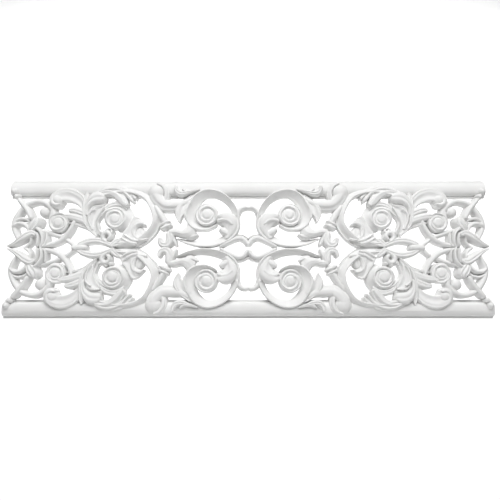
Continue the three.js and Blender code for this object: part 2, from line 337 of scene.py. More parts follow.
@dataclass
class Walk:
    """Stations along a line, crowded towards its ends, where outlines are round."""

    even: np.ndarray
    shares: np.ndarray
    walked: np.ndarray

    @classmethod
    def along(cls, points: np.ndarray, step: float) -> "Walk":
        """Stations about one step apart.

        Args:
            points: points that the line runs through.
            step: wanted distance between stations in parts.

        Returns:
            The walk.
        """
        fine = np.linspace(0.0, 1.0, 600)
        track = catmull_rom(points, fine)
        run = np.concatenate([[0.0], np.cumsum(np.linalg.norm(np.diff(track, axis=0), axis=1))])
        count = max(6, int(round(run[-1] / step)) + 1)
        even = np.linspace(0.0, 1.0, count)
        eased = even - 0.1 * np.sin(2.0 * math.pi * even) * min(1.0, 40.0 / run[-1])
        return cls(eased, np.interp(eased * run[-1], run, fine), eased * run[-1])

    def round_end(self, end: int, radius: float) -> np.ndarray:
        """Quarter circle that rises from nothing at one end to one a radius away from it."""
        gone = np.clip(np.abs(self.walked - self.walked[end]) / radius, 0.0, 1.0)
        return np.sqrt(np.clip(1.0 - (1.0 - gone) ** 2, 0.0, 1.0))


@dataclass
class Leaf:
    """Broad leaf between two margins.

    Attributes:
        section: its cross section, from the right margin to the left one.
        right: points of the board on the right margin.
        left: points of the board on the left margin.
        crests: heights of the crest as shares of the relief depth, at equal steps.
        flutes: number of soft grooves that run along the leaf.
        flute_depth: depth of the grooves as a share of the crest.
        blunt: radius in parts over which its start and its end are rounded down.
        skew: how far the grooves lean to one margin, in half widths from foot to tip.
        step: distance between stations in parts.
        sides: number of corners across the front.
    """

    section: Section
    right: tuple[Point, ...]
    left: tuple[Point, ...]
    crests: Numbers
    flutes: float = 0.0
    flute_depth: float = 0.06
    blunt: tuple[float, float] = (4.0, 4.0)
    skew: float = 0.0
    step: float = 3.4
    sides: int = 17

    def shell(self, board: Board) -> Shell:
        """Mesh of the leaf.

        Both margins are walked at the same shares. At each station a row of corners spans from
        one to the other at the section's heights, lowered by the waves of the grooves. Towards
        each end the row draws in to its middle and down by a quarter circle.

        Args:
            board: the drawing board.

        Returns:
            The closed shell.
        """
        right_points = np.array(self.right, float)
        left_points = np.array(self.left, float)
        margins = (right_points, left_points)
        longer = max(margins, key=lambda line: np.linalg.norm(np.diff(line, axis=0), axis=1).sum())
        walk = Walk.along(longer, self.step)
        right = catmull_rom(right_points, walk.shares)
        left = catmull_rom(left_points, walk.shares)
        crest = blended(self.crests, walk.shares)
        middle = (right + left) / 2
        for end, radius in zip((0, -1), self.blunt):
            if radius > 0:
                round_end = walk.round_end(end, radius)
                draw = np.maximum(round_end, 0.1)[:, None] ** 0.6
                right = middle + (right - middle) * draw
                left = middle + (left - middle) * draw
                crest = crest * (0.76 + 0.24 * round_end)
        scale = np.array([board.along, board.across])
        right = right * scale
        left = left * scale
        grooves = (self.flutes, self.flute_depth, self.skew)
        return spanned(self.section, walk.even, right, left, crest * board.depth, self.sides, grooves)


def spanned(
    section: Section,
    even: np.ndarray,
    right: np.ndarray,
    left: np.ndarray,
    crest: np.ndarray,
    sides: int,
    grooves: tuple[float, float, float] = (0.0, 0.0, 0.0),
) -> Shell:
    """Closed surface of rows that span between two margins, with its back flat on the wall.

    The corner at side s lies at the mean of both margins plus s times half their difference. Its
    height is the crest times the section's height, less the grooves: a depth times one minus the
    cosine of the side, counted in grooves and moved sideways by the skew along the way.

    Args:
        section: the cross section.
        even: shares of the way along, one for each station.
        right: right margin in metres, one row for each station.
        left: left margin in metres.
        crest: height of the crest in metres at each station.
        sides: number of corners across the front.
        grooves: number of grooves, their depth as a share of the crest, and their skew.

    Returns:
        The shell, facing outwards.
    """
    places = np.linspace(0.0, math.pi, sides)
    side = np.cos(places) if section is Section.BEAD else np.linspace(1.0, -1.0, sides)
    fade = np.sin(math.pi * np.clip(even * 0.9 + 0.05, 0.0, 1.0))[:, None] ** 0.5
    heights = section_heights(section, side, fade)
    count, depth, skew = grooves
    if count:
        phase = (side[None, :] + skew * (even[:, None] - 0.5)) * count * math.pi
        inside = np.clip(1.0 - np.abs(side) ** 4, 0.0, 1.0)[None, :]
        heights = heights - depth * 0.5 * (1.0 - np.cos(phase)) * inside * fade
    heights = heights * crest[:, None] * (1.0 - 0.12 * np.abs(side) ** 10)[None, :]
    grid = np.zeros((len(even), sides + 2, 3))
    middle = (right + left) / 2
    reach = (right - left) / 2
    grid[:, 1:-1, 0] = middle[:, 0, None] + side[None, :] * reach[:, 0, None]
    grid[:, 1:-1, 2] = middle[:, 1, None] + side[None, :] * reach[:, 1, None]
    grid[:, 1:-1, 1] = -heights
    for edge, inner in ((0, 1), (-1, -2)):
        grid[:, edge, 0] = grid[:, inner, 0]
        grid[:, edge, 2] = grid[:, inner, 2]
    return closed_tube(grid)


def closed_tube(grid: np.ndarray) -> Shell:
    """Closed shell of rings: neighbouring rings are joined by squares and the ends are capped.

    Args:
        grid: rings of corners, shaped stations by ring by 3.

    Returns:
        The shell, facing outwards.
    """
    stations, ring, _ = grid.shape
    rows, columns = np.meshgrid(np.arange(stations - 1), np.arange(ring), indexing="ij")
    here = (rows * ring + columns).ravel()
    beside = (rows * ring + (columns + 1) % ring).ravel()
    squares = np.stack([here, beside, beside + ring, here + ring], axis=1)
    faces = [tuple(face) for face in squares.tolist()]
    faces.append(tuple(range(ring - 1, -1, -1)))
    faces.append(tuple(range((stations - 1) * ring, stations * ring)))
    return outward(Shell(grid.reshape(-1, 3), faces))


def outward(shell: Shell) -> Shell:
    """The shell with its faces turned outwards.

    The volume is summed over a fan of triangles for each face. Where it is below nothing, the
    faces look inwards and each is turned round.

    Args:
        shell: a closed shell whose faces agree with one another.

    Returns:
        The shell itself or its turned copy.
    """
    volume = 0.0
    for face in shell.faces:
        fan = shell.corners[list(face)]
        cross = np.cross(fan[1:-1], fan[2:])
        volume += float((cross @ fan[0]).sum())
    if volume < 0:
        return Shell(shell.corners, [face[::-1] for face in shell.faces])
    return shell


@dataclass
class Boss:
    """A turned or spiral boss standing on the wall.

    Attributes:
        crown: its shape.
        middle: its middle on the board.
        radius: its radius in parts.
        crest: its height as a share of the relief depth.
        turn: where the groove of a volute starts, in turns.
        hand: 1 or -1, which way the groove winds.
        eye: radius of a volute's eye, as a share of the radius.
        rings: number of rings of faces from the edge to the middle.
        spokes: number of faces in a ring.
    """

    crown: Crown
    middle: Point
    radius: float
    crest: float
    turn: float = 0.0
    hand: float = 1.0
    eye: float = 0.37
    rings: int = 14
    spokes: int = 40

    def shell(self, board: Board) -> Shell:
        """Mesh of the boss.

        The surface is a function of the angle and of the distance r from the middle, as a share
        of the radius. A dome is a circle's arc. On a volute the groove lies at the eye's edge and
        moves out to the rim within one turn, a roll stands outside it, and the eye is a low dome.

        Args:
            board: the drawing board.

        Returns:
            The closed shell.
        """
        r = np.linspace(1.0, 0.0, self.rings + 1)[:-1][:, None]
        angle = (2.0 * math.pi * np.arange(self.spokes) / self.spokes)[None, :]
        if self.crown is Crown.DOME:
            height = 0.4 + 0.6 * np.sqrt(np.clip(1.0 - r**2, 0, 1)) + 0.0 * angle
        else:
            phase = (self.hand * angle / (2 * math.pi) + self.turn) % 1.0
            pitch = 0.55 * (1.0 - self.eye)
            groove = self.eye + 0.05 + pitch * phase
            height = 0.86 + 0.0 * r * angle
            for turn in (0, 1):
                height = height - (0.13, 0.08)[turn] * bump(r, groove + turn * pitch, 0.085)
                height = height + (0.06, 0.03)[turn] * bump(r, groove + turn * pitch + 0.15, 0.09)
            height = height - 0.08 * bump(r, self.eye + 0.04, 0.06) * phase
            height = height + 0.07 * np.sqrt(np.clip(1.0 - (r / self.eye) ** 2, 0.0, 1.0))
            height = height * (1.0 - 0.2 * np.clip((r - 0.9) / 0.1, 0.0, 1.0) ** 2)
        crest = self.crest * board.depth
        reach = self.radius * board.part * r
        centre = np.array([self.middle[0] * board.along, self.middle[1] * board.across])
        ringed = np.zeros((self.rings + 1, self.spokes, 3))
        ringed[1:, :, 0] = centre[0] + reach * np.cos(angle)
        ringed[1:, :, 2] = centre[1] + reach * np.sin(angle)
        ringed[1:, :, 1] = -crest * height
        ringed[0] = ringed[1]
        ringed[0, :, 1] = 0.0
        tip_height = float(np.mean(ringed[-1, :, 1]))
        corners = np.concatenate([ringed.reshape(-1, 3), [[centre[0], tip_height, centre[1]]]])
        rows, columns = np.meshgrid(np.arange(self.rings), np.arange(self.spokes), indexing="ij")
        here = (rows * self.spokes + columns).ravel()
        beside = (rows * self.spokes + (columns + 1) % self.spokes).ravel()
        squares = np.stack([here, beside, beside + self.spokes, here + self.spokes], axis=1)
        faces = [tuple(face) for face in squares.tolist()]
        rim = self.rings * self.spokes
        tip = len(corners) - 1
        faces += [(rim + k, rim + (k + 1) % self.spokes, tip) for k in range(self.spokes)]
        faces.append(tuple(range(self.spokes - 1, -1, -1)))
        return outward(Shell(corners, faces))


@dataclass
class BigScroll:
    """Hoop that leaves the root, swings round under the rail and closes in on a volute."""

    eye: Point = (277, 61)
    middle: Point = (260, 64)
    hoop_radii: Numbers = (62, 62.5, 69.5, 65.5, 60.5, 77)
    band_radii: Numbers = (49, 46, 34, 28.5, 28.5, 29, 26, 22)
    volute_radius: float = 23.0

    def forms(self) -> list[Stroke | Leaf | Boss]:
        """The strokes, leaves and bosses of the scroll.

        Returns:
            The forms, for one quarter.
        """
        hoop = winding(self.middle, -72, -50, self.hoop_radii)
        band = winding(self.eye, -52, 45, self.band_radii)
        return [
            Stroke(Section.RIM, hoop, (5, 9.8, 9.8, 10, 10, 9), (MIDDLE, HIGH, HIGH)),
            Stroke(Section.SCOOP, band, (5, 10, 10, 9.5, 9, 9, 8, 7), (LOW, MIDDLE, HIGH)),
            Boss(Crown.VOLUTE, self.eye, self.volute_radius, 0.97, turn=0.35, hand=-1, eye=0.42),
            *self.curl_leaf(),
            *self.sheath(),
        ]

    def curl_leaf(self) -> list[Stroke | Leaf]:
        """Broad leaf on the inner side of the hoop, with two small folds, that ends in a hook.

        Returns:
            The forms, in the order in which they are joined.
        """
        return [
            Leaf(
                Section.HOLLOW,
                ((290, 6), (269, 18), (260, 34), (251, 47), (244, 58), (237, 66), (224, 62)),
                ((281, 1), (260, 5), (243, 9), (231, 17), (232, 40), (225, 51), (214, 49)),
                (MIDDLE, MIDDLE),
                blunt=(3, 5),
            ),
            Stroke(Section.LEAF, ((216, 14), (224, 30), (226, 44)), (8, 11, 9), (LOW,)),
            Stroke(
                Section.FOLD,
                ((208, 19), (222, 17), (234, 24), (238, 35), (233, 46), (222, 50), (213, 45)),
                (3, 4.6, 5.6, 6, 6, 5, 2.5),
                (MIDDLE, MIDDLE, HIGH),
            ),
            Stroke(Section.LEAF, ((286, 2), (277, 10), (266, 19)), (5, 8, 5), (MIDDLE, MIDDLE)),
            Stroke(Section.FOLD, ((228, 9), (246, 12), (264, 22)), (5, 5.4, 1.6), (HIGH, MIDDLE)),
            Stroke(Section.FOLD, ((225, 14), (241, 18), (258, 28)), (5, 5.4, 1.6), (HIGH, MIDDLE)),
        ]

    def sheath(self) -> list[Leaf]:
        """Three blades that lie over the foot of the hoop, and the ground beside them.

        Returns:
            The forms, in the order in which they are joined.
        """
        return [
            Leaf(
                Section.LEAF,
                ((304, 70), (291, 82), (276, 86), (262, 82), (252, 74)),
                ((304, 90), (292, 97), (281, 100), (270, 103), (255, 99)),
                (LOW, MIDDLE),
            ),
            Leaf(
                Section.FOLD,
                ((331, 102), (311, 109), (296, 110), (283, 105), (274, 97), (266, 90), (255, 84)),
                ((334, 112), (316, 121), (296, 127), (279, 127), (262, 117), (253, 103), (249, 90)),
                (HIGH, TOP),
                flutes=2.2,
                flute_depth=0.07,
                blunt=(6, 1.5),
            ),
            Leaf(
                Section.FOLD,
                ((310, 113), (292, 119), (274, 118), (260, 110), (250, 100), (241, 93)),
                ((316, 121), (298, 130), (277, 132), (257, 125), (246, 112), (238, 98)),
                (HIGH, HIGH),
                flutes=1.2,
                blunt=(6, 1.5),
            ),
            Leaf(
                Section.FOLD,
                ((292, 121), (274, 123), (257, 116), (245, 106), (235, 100)),
                ((300, 129), (279, 135), (258, 133), (243, 121), (232, 106)),
                (MIDDLE, MIDDLE),
                blunt=(6, 1.5),
            ),
        ]


@dataclass
class LeafFan:
    """Fan of acanthus leaves between the big scroll and the strapwork."""

    trunk_foot: Point = (338, 118)
    curl: Point = (294, 24)

    def forms(self) -> list[Stroke | Leaf | Boss]:
        """The strokes, leaves and bosses of the fan.

        Returns:
            The forms, for one quarter.
        """
        trunk = ((312, 22), (333, 43), (340, 62), (342, 80), (341, 96))
        foot = ((342, 88), (340, 104), self.trunk_foot)
        return [
            Stroke(Section.LEAF, trunk, (2.5, 5, 5.4, 5, 4.6), (MIDDLE, HIGH, HIGH)),
            Stroke(Section.LEAF, foot, (4, 7.6, 1.4), (HIGH, MIDDLE)),
            *self.hook_leaf(),
            *self.side_leaves(),
            *self.lobes(),
            *self.node(),
        ]

    def hook_leaf(self) -> list[Stroke | Leaf | Boss]:
        """Large leaf that sweeps down on to the rail and curls over.

        Returns:
            The forms, in the order in which they are joined.
        """
        return [
            Leaf(
                Section.HOLLOW,
                ((350, 58), (349, 78), (358, 90), (370, 96), (381, 98), (391, 97), (402, 96)),
                ((337, 66), (339, 96), (348, 114), (366, 125), (386, 127), (403, 120), (414, 105)),
                (MIDDLE, TOP),
                flutes=1.0,
                flute_depth=0.04,
                blunt=(5, 5),
            ),
            Boss(Crown.DOME, (400, 101), 14.4, TOP),
            Stroke(
                Section.FOLD,
                ((397, 118), (409, 108), (410, 94), (401, 88), (390, 91)),
                (6, 7, 7, 6, 3.4),
                (HIGH, TOP, TOP),
            ),
        ]

    def side_leaves(self) -> list[Leaf]:
        """Three leaves that point to the strapwork and merge towards the trunk.

        Returns:
            The forms, in the order in which they are joined.
        """
        return [
            Leaf(
                Section.LEAF,
                ((311, 22), (336, 37), (356, 45), (374, 50)),
                ((324, 44), (342, 50), (357, 53), (374, 53)),
                (LOW, MIDDLE),
                blunt=(5, 2),
            ),
            Leaf(
                Section.LEAF,
                ((334, 42), (358, 53), (375, 58), (390, 63)),
                ((336, 68), (357, 72), (373, 74), (391, 70)),
                (HIGH, HIGH, MIDDLE),
                flutes=2.0,
                blunt=(8, 3),
                skew=0.3,
            ),
            Leaf(
                Section.LEAF,
                ((336, 58), (354, 66), (366, 71), (377, 75)),
                ((341, 82), (351, 85), (362, 87), (376, 84)),
                (HIGH, HIGH, MIDDLE),
                flutes=1.0,
                blunt=(8, 3),
            ),
        ]

    def lobes(self) -> list[Stroke | Leaf]:
        """Two lobes that point to the scroll: a broad upper one and a lower one with a round end.

        Returns:
            The forms, in the order in which they are joined.
        """
        return [
            Leaf(
                Section.HOLLOW,
                ((311, 26), (316, 40), (315, 54), (310, 65), (305, 74), (300, 84)),
                ((316, 24), (329, 40), (333, 56), (334, 72), (325, 87), (302, 88)),
                (MIDDLE, HIGH, HIGH),
                blunt=(3, 5),
            ),
            Stroke(
                Section.FOLD,
                ((321, 36), (329, 54), (329, 70), (318, 80)),
                (2.4, 4.2, 4.8, 2.4),
                (HIGH, TOP),
            ),
            Stroke(Section.LEAF, ((334, 76), (322, 90), (298, 93)), (6, 8, 6), (0.68,)),
            Leaf(
                Section.LEAF,
                ((331, 64), (332, 79), (326, 88), (317, 92), (308, 92), (297, 96)),
                ((341, 66), (342, 84), (339, 101), (329, 115), (313, 120), (298, 113)),
                (HIGH, TOP, TOP),
                blunt=(5, 10),
            ),
        ]

    def node(self) -> list[Stroke | Boss]:
        """Tie on the centre line, the petals that leave it and their small curl.

        Returns:
            The forms, in the order in which they are joined.
        """
        ring = winding(self.curl, -100, 60, (14, 9, 8.2, 8, 8.2, 8.8, 9.5))
        places = ((304, 32), (294, 37), (284, 33))
        petals = (Boss(Crown.DOME, place, 5.4, MIDDLE, rings=8, spokes=24) for place in places)
        return [
            Stroke(Section.BEAD, ((367, 0), (350, 0), (332, 0)), (5, 9.2, 6), (MIDDLE, HIGH)),
            Stroke(
                Section.LEAF,
                ((354, 4), (334, 13), (312, 15), (292, 9), (277, 1)),
                (6, 7.6, 7.6, 6.5, 4),
                (MIDDLE, MIDDLE),
            ),
            Stroke(Section.BEAD, ring, (5, 6.2, 6.4, 6.4, 6, 5.4, 4), (MIDDLE, HIGH)),
            *petals,
        ]


@dataclass
class Strapwork:
    """Interlaced loops at the end of the moulding, with berries, a spear tip and a corner stem."""

    loop_middle: Point = (444, 55)
    loop_radii: Numbers = (51.6, 45.4, 39.5, 41, 44, 42.4, 35)
    dish: Point = (395, 53)
    dish_radius: float = 21.5
    berry: float = 12.5
    ball: float = 8.0

    def forms(self) -> list[Stroke | Boss]:
        """The strokes and bosses of the strapwork.

        Returns:
            The forms, for one quarter.
        """
        loop = winding(self.loop_middle, -54, 40, self.loop_radii)
        return [
            Stroke(Section.BEAD, loop, (4.4, 6.4, 7, 6.6, 6.6, 7.2, 6.5), (MIDDLE, MIDDLE)),
            Stroke(
                Section.BEAD,
                ((409, 80), (411, 64), (412, 50), (404, 38)),
                (6, 6, 6, 4),
                (MIDDLE, MIDDLE),
            ),
            Boss(Crown.VOLUTE, self.dish, self.dish_radius, HIGH, turn=0.6, hand=1, eye=0.42),
            Boss(Crown.DOME, (426, 76), self.berry, MIDDLE),
            Stroke(
                Section.FLUTED,
                ((451, 34), (446, 44), (439, 54), (438, 65)),
                (6, 12, 13, 8),
                (HIGH, TOP, HIGH),
            ),
            *self.corner(),
            *self.side_loops(),
            *self.spear(),
            *self.arcs(),
        ]

    def corner(self) -> list[Stroke | Boss]:
        """Stem to the corner with its collar and ball.

        Returns:
            The forms, in the order in which they are joined.
        """
        return [
            Stroke(
                Section.BEAD,
                ((482, 104), (470, 90), (459, 76), (450, 58)),
                (6, 6.6, 7, 6.4),
                (HIGH, HIGH),
            ),
            Stroke(Section.BEAD, ((488, 113), (485, 108), (482, 103)), (6.6, 7.6, 6.6), (0.96,)),
            Boss(Crown.DOME, (491, 119), self.ball, TOP),
        ]

    def side_loops(self) -> list[Stroke]:
        """Hooks on the outer side of the loop.

        Returns:
            The forms, in the order in which they are joined.
        """
        upper = ((489, 42), (480, 50), (467, 49), (457, 40), (454, 28))
        lower = ((489, 53), (475, 61), (461, 59), (449, 48))
        return [
            Stroke(Section.BEAD, upper, (4.2, 5, 5.8, 5.2, 4.4), (HIGH, MIDDLE)),
            Stroke(Section.BEAD, lower, (3.4, 4, 4.2, 4.4), (MIDDLE, LOW)),
        ]

    def spear(self) -> list[Stroke]:
        """Spear tip at the end of the centre line, and the three bands of the clasp that ties it.

        Returns:
            The forms, in the order in which they are joined.
        """
        side_hook = ((467, -1), (456, 5), (450, 14), (452, 24))
        clasp_middle = ((429, -2), (425, 14), (428, 30), (440, 42))
        return [
            Stroke(
                Section.LEAF,
                ((499, 2), (484, 8), (470, 17), (457, 26), (446, 30), (438, 24)),
                (2, 5, 7.6, 9, 7.8, 4.8),
                (MIDDLE, TOP, HIGH),
            ),
            Stroke(Section.BEAD, side_hook, (3.6, 4.4, 4.2, 4), (LOW, MIDDLE)),
            Stroke(Section.BEAD, ((436, 0), (433, 15), (437, 32)), (3.8,), (TOP,)),
            Stroke(Section.BEAD, clasp_middle, (4, 4.4, 4.6, 4.4), (HIGH, TOP)),
            Stroke(Section.BEAD, ((421, 1), (417, 16), (419, 32)), (3.4, 3.6, 2.6), (HIGH, MIDDLE)),
        ]

    def arcs(self) -> list[Stroke]:
        """Straps from the clasp to the dish, the leaf and the tie.

        Returns:
            The forms, in the order in which they are joined.
        """
        return [
            Stroke(
                Section.BEAD,
                ((434, 3), (411, 6), (389, 15), (374, 31), (365, 48), (361, 60)),
                (4.6, 5.6, 6.6, 6.4, 5.6, 4.6),
                (MIDDLE, MIDDLE),
            ),
            Stroke(Section.BEAD, ((431, 38), (409, 30), (385, 22)), (5, 5.4, 5.2), (LOW, LOW)),
            Stroke(Section.BEAD, ((357, 1), (367, 9), (380, 20)), (5.4, 5.2, 5), (LOW, LOW)),
        ]


@dataclass
class MiddleScroll:
    """Scroll beside the middle of the moulding, wound once more than the big one."""

    eye: Point = (86, 69)
    tip: tuple[Point, ...] = ((150, 20), (124, 12), (97, 8), (68, 11), (42, 22), (28, 38))
    foot: tuple[Point, ...] = ((25, 56), (28, 76), (39, 96), (59, 111), (83, 116), (103, 107), (117, 86))
    inner_turn: tuple[Point, ...] = ((121, 64), (110, 48), (86, 43), (64, 50))
    volute_radius: float = 24.5

    def forms(self) -> list[Stroke | Leaf | Boss]:
        """The strokes, leaves and bosses of the scroll.

        Returns:
            The forms, for one quarter.
        """
        band = self.tip + self.foot + self.inner_turn
        widths = (1.6, 5, 6.6, 8, 8.6, 9, 9, 7, 6.8, 7.8, 8.8, 10.6, 10.6, 10.4, 10.4, 8, 4)
        return [
            Stroke(Section.SCOOP, band, widths, (MIDDLE, HIGH, HIGH)),
            Boss(Crown.VOLUTE, self.eye, self.volute_radius, 0.97, turn=0.1, hand=1, eye=0.36),
            *self.fold_leaf(),
            *self.outer_leaves(),
            *self.shelf(),
        ]

    def fold_leaf(self) -> list[Stroke | Leaf]:
        """Leaf that folds over the inner side of the band, with a hook and a swollen end.

        Returns:
            The forms, in the order in which they are joined.
        """
        return [
            Leaf(
                Section.FOLD,
                ((42, 16), (27, 31), (20, 46), (22, 61), (32, 72), (47, 76), (61, 71)),
                ((52, 20), (51, 30), (50, 38), (52, 44), (59, 48), (66, 54), (68, 64)),
                (MIDDLE, HIGH, TOP, TOP),
                flutes=1.0,
                flute_depth=0.05,
                blunt=(4, 10),
            ),
            Stroke(Section.FOLD, ((38, 24), (45, 33), (53, 37), (57, 43)), (7, 9, 9, 5), (MIDDLE, HIGH)),
            Stroke(Section.FOLD, ((30, 46), (40, 57), (52, 60), (65, 55)), (5, 7, 7, 3), (TOP, TOP)),
        ]

    def outer_leaves(self) -> list[Stroke | Leaf]:
        """Leaf between the scrolls and the leaf that lies on the rail.

        Returns:
            The forms, in the order in which they are joined.
        """
        return [
            Leaf(
                Section.HOLLOW,
                ((142, 52), (137, 65), (131, 70), (129, 80), (124, 96), (110, 114)),
                ((144, 51), (152, 64), (154, 76), (149, 88), (139, 98), (120, 112)),
                (MIDDLE, HIGH, MIDDLE),
                blunt=(4, 4),
            ),
            Stroke(
                Section.FOLD,
                ((131, 59), (130, 72), (126, 84), (118, 98)),
                (2, 4.6, 5.4, 5),
                (HIGH, HIGH),
            ),
            Stroke(
                Section.LEAF,
                ((100, 123), (120, 118), (134, 114), (145, 115), (151, 122), (152, 132)),
                (1.6, 4, 6.6, 7, 6, 3),
                (HIGH, TOP, TOP),
            ),
            Stroke(Section.FOLD, ((116, 119), (130, 119), (139, 125)), (3, 4.6, 2), (HIGH, TOP)),
        ]

    def shelf(self) -> list[Stroke | Leaf | Boss]:
        """Branch that crosses to the big scroll and curls over on the rail.

        Returns:
            The forms, in the order in which they are joined.
        """
        return [
            Leaf(
                Section.FOLD,
                ((118, 112), (138, 103), (156, 103), (169, 103), (177, 110), (186, 122)),
                ((122, 86), (142, 79), (161, 75), (181, 77), (199, 90), (212, 112)),
                (MIDDLE, HIGH, TOP),
                flutes=1.2,
                blunt=(4, 10),
                skew=0.3,
            ),
            Boss(Crown.DOME, (193, 118.5), 18.5, TOP),
            Stroke(
                Section.FOLD,
                ((181, 90), (172, 104), (171, 120), (179, 132), (193, 137)),
                (5, 6.4, 6.8, 6, 3),
                (MIDDLE, HIGH, HIGH),
            ),
        ]


@dataclass
class Bud:
    """Tied bud on a stem that leans out between the two scrolls."""

    stem_top: Point = (197, 91)
    stem_foot: Point = (170, 48)

    def forms(self) -> list[Stroke | Leaf]:
        """The strokes and the leaf of the bud.

        Returns:
            The forms, for one quarter.
        """
        return [
            Stroke(Section.BEAD, (self.stem_top, (185, 73), self.stem_foot), (6.4, 7.2, 8), (MIDDLE, HIGH)),
            Stroke(Section.BEAD, ((174, 54), (170, 46), (164, 37)), (9, 9.4, 10), (HIGH,)),
            Stroke(Section.BEAD, ((184, 46), (173, 51), (162, 56)), (4, 5, 4), (0.95,)),
            Stroke(Section.BEAD, ((183, 38), (171, 43), (158, 48)), (4, 5.4, 4), (TOP,)),
            Leaf(
                Section.LEAF,
                ((168, 38), (152, 41), (138, 38), (130, 44), (127, 52), (124, 60)),
                ((164, 26), (151, 25), (135, 21), (120, 21), (112, 24), (104, 29)),
                (HIGH, TOP, MIDDLE),
                flutes=2.0,
                flute_depth=0.09,
                blunt=(4, 3),
            ),
            Stroke(
                Section.LEAF,
                ((165, 36), (162, 18), (168, 6), (180, 8), (184, 22)),
                (9.5, 10, 9, 7, 4),
                (HIGH, HIGH),
            ),
            Stroke(Section.FOLD, ((160, 24), (152, 10), (148, 2)), (7, 5.4, 3), (MIDDLE, MIDDLE)),
            Stroke(Section.FOLD, ((130, 22), (115, 22), (103, 28)), (6.5, 6, 2.4), (MIDDLE, MIDDLE)),
        ]


@dataclass
class Knot:
    """Loops tied at the middle of the moulding, and the bracket against the scroll."""

    tie: Point = (-1, 3)

    def forms(self) -> list[Stroke]:
        """The strokes of the knot: the loop, the thin line beside it and the bracket.

        Returns:
            The forms, for one quarter.
        """
        loop = ((60, 1), (36, 14), (20, 20), (8, 16), self.tie)
        line = ((52, 12), (35, 22), (18, 27), (5, 23), (-1, 18))
        bracket = ((24, 64), (19, 78), (12, 84), (5, 85), (-1, 82))
        return [
            Stroke(Section.BEAD, loop, (4, 5.8, 6.4, 6.2, 5.4), (MIDDLE, HIGH)),
            Stroke(Section.BEAD, line, (2, 3, 3.2, 3, 2.6), (LOW, LOW)),
            Stroke(Section.BEAD, bracket, (7, 6, 5.6, 5.4, 5), (MIDDLE, MIDDLE)),
        ]


@dataclass
class Rail:
    """Half-round rail with a fillet on each side, sizes in metres."""

    height: float = 0.038
    depth: float = 0.018
    fillet_width: float = 0.0045
    fillet_depth: float = 0.008
    flatness: float = 2.2
    facets: int = 28

    def shell(self, board: Board) -> Shell:
        """Mesh of the upper rail.

        The section is a fillet, a flattened half round and a fillet, carried straight along the
        length. Across the half round the swell is one minus the place to a power, all to the
        power's inverse, so that the face is nearly flat and the shoulders turn quickly.

        Args:
            board: the drawing board, which gives the length and the height.

        Returns:
            The closed shell.
        """
        middle = board.half_height - self.height / 2
        rise = self.height / 2 - self.fillet_width
        place = -np.cos(math.pi * np.arange(self.facets + 1) / self.facets)
        arc = (1.0 - np.abs(place) ** self.flatness) ** (1.0 / self.flatness)
        swell = (self.depth - self.fillet_depth) * arc
        outline = np.concatenate(
            [
                [[0.0, middle - self.height / 2], [self.fillet_depth, middle - self.height / 2]],
                np.stack([self.fillet_depth + swell, middle + rise * place], axis=1),
                [[self.fillet_depth, middle + self.height / 2], [0.0, middle + self.height / 2]],
            ]
        )
        grid = np.zeros((2, len(outline), 3))
        grid[:, :, 0] = np.array([[-board.half_length], [board.half_length]])
        grid[:, :, 1] = -outline[:, 0]
        grid[:, :, 2] = outline[:, 1]
        return closed_tube(grid)


def mesh_object(name: str, shell: Shell) -> bpy.types.Object:
    """A mesh object with the shell's corners and faces.

    Args:
        name: name of the object.
        shell: the shell.

    Returns:
        The new object, linked to the scene.
    """
    mesh = bpy.data.meshes.new(name)
    mesh.from_pydata(shell.corners.tolist(), [], shell.faces)
    mesh.update()
    thing = bpy.data.objects.new(name, mesh)
    bpy.context.scene.collection.objects.link(thing)
    return thing


def united(name: str, shells: list[Shell]) -> Shell:
    """Union of closed shells.

    Args:
        name: name for the working objects.
        shells: the shells.

    Returns:
        One closed shell.
    """
    base = mesh_object(name, shells[0])
    tools = bpy.data.collections.new(name + "_tools")
    for number, shell in enumerate(shells[1:]):
        tool = mesh_object(f"{name}_{number}", shell)
        bpy.context.scene.collection.objects.unlink(tool)
        tools.objects.link(tool)
    bpy.context.scene.collection.children.link(tools)
    union = base.modifiers.new("union", "BOOLEAN")
    union.operation = "UNION"
    union.operand_type = "COLLECTION"
    union.collection = tools
    union.solver = "MANIFOLD"
    depsgraph = bpy.context.evaluated_depsgraph_get()
    result = bpy.data.meshes.new_from_object(base.evaluated_get(depsgraph))
    corners = np.zeros(len(result.vertices) * 3)
    result.vertices.foreach_get("co", corners)
    faces = [tuple(polygon.vertices) for polygon in result.polygons]
    for thing in list(tools.objects) + [base]:
        bpy.data.objects.remove(thing)
    bpy.data.collections.remove(tools)
    return Shell(corners.reshape(-1, 3), faces)


